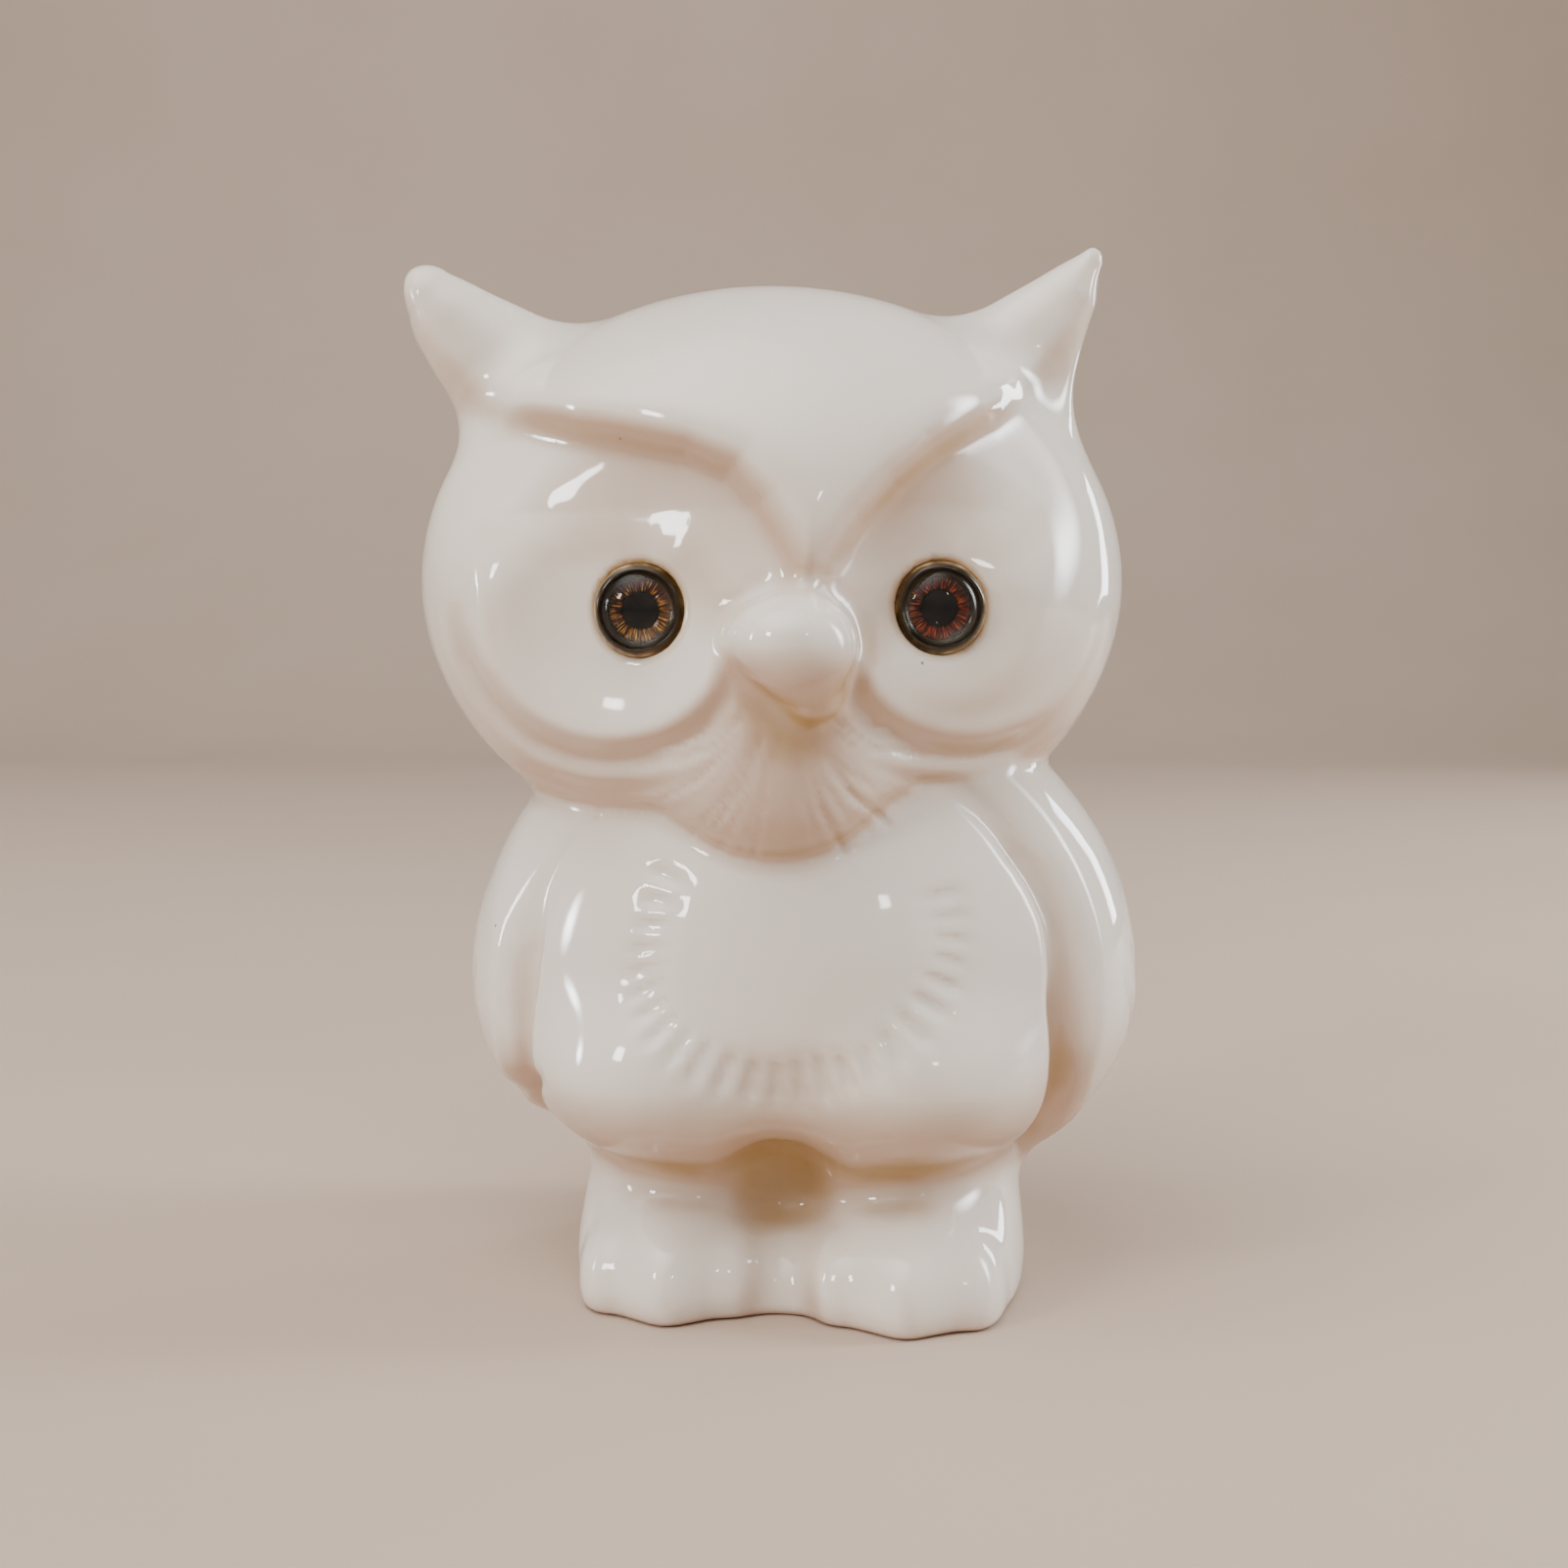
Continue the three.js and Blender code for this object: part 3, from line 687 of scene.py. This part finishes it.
def iris_material(name, upper, lower, streak):
    """Crinkled foil: fine radial folds, with painted shade above the pupil and painted light below."""
    m = Nodes(name)
    x, y, radius = m.from_axis()
    around = m.add("ShaderNodeCombineXYZ")
    for socket, value in (("X", x), ("Y", y)):
        m.link(m.math("MULTIPLY", m.math("DIVIDE", value, radius), IRIS_FOLDS), around.inputs[socket])
    m.link(m.math("MULTIPLY", radius, 700.0), around.inputs["Z"])
    folds = m.add("ShaderNodeTexNoise", Vector=around.outputs["Vector"])
    folds.inputs["Scale"].default_value = 1.5
    folds.inputs["Detail"].default_value = 4.0
    # painted light and shade: the iris darkens towards the top and lightens towards the bottom and one
    # side
    height = m.math("ADD", m.math("MULTIPLY", y, -1.0), m.math("MULTIPLY", x, 0.35))
    colour = m.mix(m.remap(height, -0.5 * MM, 1.2 * MM), upper, lower)
    colour = m.mix(m.remap(folds.outputs["Fac"], 0.56, 0.66), colour, streak)
    dark = tuple(0.12 * c for c in upper[:3]) + (1,)
    colour = m.mix(m.remap(folds.outputs["Fac"], 0.52, 0.42, 0.0, 0.95), colour, dark)
    edge = m.remap(radius, (IRIS_RADIUS - 0.4) * MM, IRIS_RADIUS * MM, 0.0, 0.85)
    colour = m.mix(edge, colour, IRIS_EDGE)
    m.link(colour, m.shader.inputs["Base Color"])
    m.link(m.bump(folds.outputs["Fac"], 0.0002), m.shader.inputs["Normal"])
    m.set(Metallic=0.6, Roughness=0.35)
    return m.material


def glass_material():
    m = Nodes("eye glass")
    m.link(m.remap(m.noise(700, 2), 0.3, 0.7, 0.0, 0.03), m.shader.inputs["Roughness"])
    m.link(m.bump(m.noise(400, 1), 0.00002, 0.3), m.shader.inputs["Normal"])
    m.set(Base_Color=GLASS_TINT, Transmission_Weight=1.0, IOR=1.3)
    return m.material


def resin_material():
    """Glue that is dark olive against the glass and thins out to amber over the cream glaze."""
    m = Nodes("amber resin")
    uneven = m.remap(m.noise(700, 3), 0.3, 0.7, -0.12 * MM, 0.12 * MM)
    radius = m.math("ADD", m.from_axis()[2], uneven)
    colour = m.mix(m.remap(radius, 3.66 * MM, 3.90 * MM), RESIN_DARK, RESIN_AMBER)
    colour = m.mix(m.remap(radius, 3.90 * MM, 4.14 * MM), colour, RESIN_THIN)
    m.link(colour, m.shader.inputs["Base Color"])
    m.link(m.bump(m.noise(900, 2), 0.00008, 0.6), m.shader.inputs["Normal"])
    m.set(Roughness=0.12, Subsurface_Weight=0.6)
    m.set(Subsurface_Radius=(1.0, 0.5, 0.2), Subsurface_Scale=0.0012)
    return m.material


# ---------------------------------------------------------------- eyes


def lathe(name, profile, sides=96, wobble=None):
    """Turns (radius, height) points in mm about Z. A closed profile makes a ring."""
    ring = profile[0] == profile[-1]
    points = profile[:-1] if ring else profile
    vertices, rows = [], []
    for radius, height in points:
        if radius == 0:
            rows.append([len(vertices)] * sides)
            vertices.append((0, 0, height))
            continue
        rows.append(list(range(len(vertices), len(vertices) + sides)))
        for i in range(sides):
            angle = 2 * math.pi * i / sides
            r, z = (radius, height) if wobble is None else wobble(radius, height, angle)
            vertices.append((r * math.cos(angle), r * math.sin(angle), z))
    if ring:
        rows.append(rows[0])
    faces = []
    for low, high in zip(rows, rows[1:]):
        for i in range(sides):
            j = (i + 1) % sides
            # a face at the axis keeps three corners
            faces.append(list(dict.fromkeys((low[i], low[j], high[j], high[i]))))
    return make_mesh(name, [tuple(MM * c for c in v) for v in vertices], faces)


def quarter_turn():
    return [math.radians(90 * i / ARC_STEPS) for i in range(ARC_STEPS + 1)]


def dome_profile(base):
    """The dome's outline, from the middle of its flat back round to its top."""
    points = [(0, base), (EYE_RADIUS - GLASS_CHAMFER, base), (EYE_RADIUS, base + GLASS_CHAMFER)]
    rise = GLASS_HEIGHT - GLASS_SHOULDER
    for angle in quarter_turn():
        points.append((EYE_RADIUS * math.cos(angle), base + GLASS_SHOULDER + rise * math.sin(angle)))
    return points[:-1] + [(0, points[-1][1])]


def make_eye(side, shared):
    eye = EYES[side]
    # heights are from the middle of the pupil disc, along the eye's centre line
    floor = -0.2
    rim = floor + CUP_DEPTH

    def crinkle(radius, height, angle):
        fold = math.sin(31 * angle) + 0.6 * math.sin(47 * angle + 1.3) + 0.5 * math.sin(radius * 9)
        return radius, height + 0.035 * fold

    def uneven(radius, height, angle):
        wave = 0.09 * math.sin(3 * angle + 0.6) + 0.05 * math.sin(7 * angle)
        wave += 0.03 * math.sin(13 * angle)
        return radius, height + (wave if height > 0.3 and radius > 3.7 else 0)

    outer, inner = SOCKET_RADIUS - 0.03, EYE_RADIUS + 0.04
    # the bead leans over the dome's shoulder
    bead = [(0, floor - 1.0), (outer, floor - 1.0), (outer, rim + 0.3)]
    bead += [(outer - 0.08, rim + 0.55), (outer - 0.22, rim + 0.82), (3.66, rim + 1.06)]
    bead += [(3.50, rim + 1.14), (3.40, rim + 1.10), (3.43, rim + 0.98), (inner, rim + 0.60)]
    bead += [(inner, floor - 0.35), (0, floor - 0.35)]
    cup = [(0, floor - 0.3), (EYE_RADIUS, floor - 0.3), (EYE_RADIUS, rim - 0.06)]
    cup += [(EYE_RADIUS - 0.06, rim), (2.6, rim), (2.5, rim - 0.1), (2.5, floor), (0, floor)]
    low, high = floor + 0.05, floor + 0.2
    iris = [(IRIS_HOLE, low), (IRIS_RADIUS, low)]
    iris += [(radius, high) for radius in (IRIS_RADIUS, 2.25, 2.0, 1.7, IRIS_HOLE)]
    iris += [(IRIS_HOLE, low)]
    pupil = [(0, low), (PUPIL_RADIUS - 0.05, low), (PUPIL_RADIUS, low + 0.05)]
    pupil += [(PUPIL_RADIUS, low + 0.25), (PUPIL_RADIUS - 0.05, low + 0.3), (0, low + 0.3)]
    glass = dome_profile(rim + 0.05)
    parts = {
        "eye_adhesive": (lathe(f"{side}_eye_bead", bead, wobble=uneven), shared["resin"], "adhesive"),
        "eye_backing": (lathe(f"{side}_eye_cup", cup), shared["backing"], "backing"),
        "iris_foil": (
            lathe(f"{side}_eye_iris", iris, sides=256, wobble=crinkle),
            iris_material(f"{side} iris foil", *IRIS_COLOURS[side]),
            "iris_gold" if side == "left" else "iris_red",
        ),
        "pupil": (lathe(f"{side}_eye_pupil", pupil), shared["pupil"], "pupil"),
        "glass_dome": (lathe(f"{side}_eye_glass", glass), shared["glass"], "eye_glass"),
    }
    for node, (obj, material, slot) in parts.items():
        obj.data.materials.append(material)
        eye.place(obj)
        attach(obj, "root")
        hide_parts(f"{side}_{node}")


# ---------------------------------------------------------------- room, light, camera


def make_floor():
    """A pale floor that sweeps up into a backdrop."""
    width, near, far, bend, top = 3.0, -1.2, 0.75, 0.35, 1.6
    profile = [(near, 0.0), (far, 0.0)]
    for angle in quarter_turn()[1:]:
        profile.append((far + bend * math.sin(angle), bend * (1 - math.cos(angle))))
    profile.append((far + bend, top))
    vertices = [(x, y, z) for y, z in profile for x in (-width / 2, width / 2)]
    faces = [(2 * i, 2 * i + 1, 2 * i + 3, 2 * i + 2) for i in range(len(profile) - 1)]
    floor = make_mesh("studio_floor", vertices, faces)
    m = Nodes("pale floor")
    m.link(m.mix(m.noise(12, 3), FLOOR, FLOOR_WORN), m.shader.inputs["Base Color"])
    m.set(Roughness=0.6)
    floor.data.materials.append(m.material)


DAY, SKY = (1.0, 0.98, 0.96), (0.9, 0.95, 1.0)
SOFT_PEAK = 2.5                               # strength at the middle of a soft light
LIGHT_TARGET = (0, 0, 0.055)
# place and size in metres, power in watts, colour, and whether it is soft
LIGHTS = {
    "window_front": ((-0.64, -0.53, 0.41), (0.12, 0.15), 2.2, DAY, False),
    "window_left": ((-0.90, -0.06, 0.21), (0.12, 0.34), 3.2, SKY, True),
    "window_far": ((0.33, -0.74, 0.45), (0.05, 0.07), 0.35, DAY, False),
    "window_right": ((0.62, 0.05, 0.30), (0.26, 0.7), 6.5, SKY, True),
    "window_back": ((0.578, 0.452, 0.21), (0.09, 0.34), 1.6, SKY, False),
    "ceiling": ((-0.30, -0.30, 1.0), (2.0, 2.0), 23.5, DAY, True),
}
ROOM = (0.93, 0.90, 0.92, 1)
ROOM_STRENGTH = 0.37


def add_light(name, place, size, power, colour, soft):
    """A rectangular light. A soft one fades out towards its edges, as daylight on a wall does."""
    light = bpy.data.lights.new(name, "AREA")
    light.shape = "RECTANGLE"
    light.size, light.size_y = size
    light.energy = power
    light.color = colour
    if soft:
        light.use_nodes = True
        tree = light.node_tree
        across = tree.nodes.new("ShaderNodeNewGeometry").outputs["Parametric"]
        offset = tree.nodes.new("ShaderNodeVectorMath")
        offset.operation = "DISTANCE"
        tree.links.new(across, offset.inputs[0])
        offset.inputs[1].default_value = (0.5, 0.5, 0)
        fall = tree.nodes.new("ShaderNodeMapRange")
        fall.interpolation_type = "SMOOTHSTEP"
        tree.links.new(offset.outputs["Value"], fall.inputs["Value"])
        ends = (("From Min", 0.5), ("From Max", 0.0), ("To Min", 0.0), ("To Max", SOFT_PEAK))
        for socket, number in ends:
            fall.inputs[socket].default_value = number
        tree.links.new(fall.outputs["Result"], tree.nodes["Emission"].inputs["Strength"])
    obj = bpy.data.objects.new(name, light)
    obj.location = place
    toward = Vector(LIGHT_TARGET) - Vector(place)
    obj.rotation_mode = "QUATERNION"
    obj.rotation_quaternion = toward.to_track_quat("-Z", "Y")
    bpy.context.scene.collection.objects.link(obj)


def make_lights():
    for name, settings in LIGHTS.items():
        add_light(name, *settings)
    world = bpy.data.worlds.new("soft room")
    world.use_nodes = True
    background = world.node_tree.nodes["Background"]
    background.inputs["Color"].default_value = ROOM
    background.inputs["Strength"].default_value = ROOM_STRENGTH
    bpy.context.scene.world = world


CAMERA_DISTANCE = 192.0 * MM
CAMERA_HEIGHT = 62.3 * MM
CAMERA_PITCH = math.radians(4.43)
CAMERA_YAW = 0.006                            # radians, to the left
CAMERA_LENS = 45.0
CAMERA_SENSOR = 36.0


def make_camera():
    camera = bpy.data.cameras.new("camera")
    camera.sensor_width = CAMERA_SENSOR
    camera.lens = CAMERA_LENS
    camera.clip_start = 0.01
    obj = bpy.data.objects.new("camera", camera)
    field_axis = Vector((-PLAN_CENTRE[0], -PLAN_CENTRE[1], 0)) * MM
    obj.location = field_axis + Vector((0, -CAMERA_DISTANCE, CAMERA_HEIGHT))
    obj.rotation_euler = (math.pi / 2 - CAMERA_PITCH, 0, CAMERA_YAW)
    bpy.context.scene.collection.objects.link(obj)
    bpy.context.scene.camera = obj


# ---------------------------------------------------------------- the scene

casting = make_casting()
casting.data.materials.append(glaze_material())
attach(casting, "root")
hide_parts("owl_casting")

shared_materials = {
    "resin": resin_material(),
    "backing": plain_material("dark olive enamel", OLIVE_ENAMEL, 0.5, Specular_IOR_Level=0.2),
    "pupil": plain_material("black enamel", BLACK_ENAMEL, 0.6, Specular_IOR_Level=0.1),
    "glass": glass_material(),
}
for eye_side in SIDES:
    make_eye(eye_side, shared_materials)

make_floor()
make_lights()
make_camera()
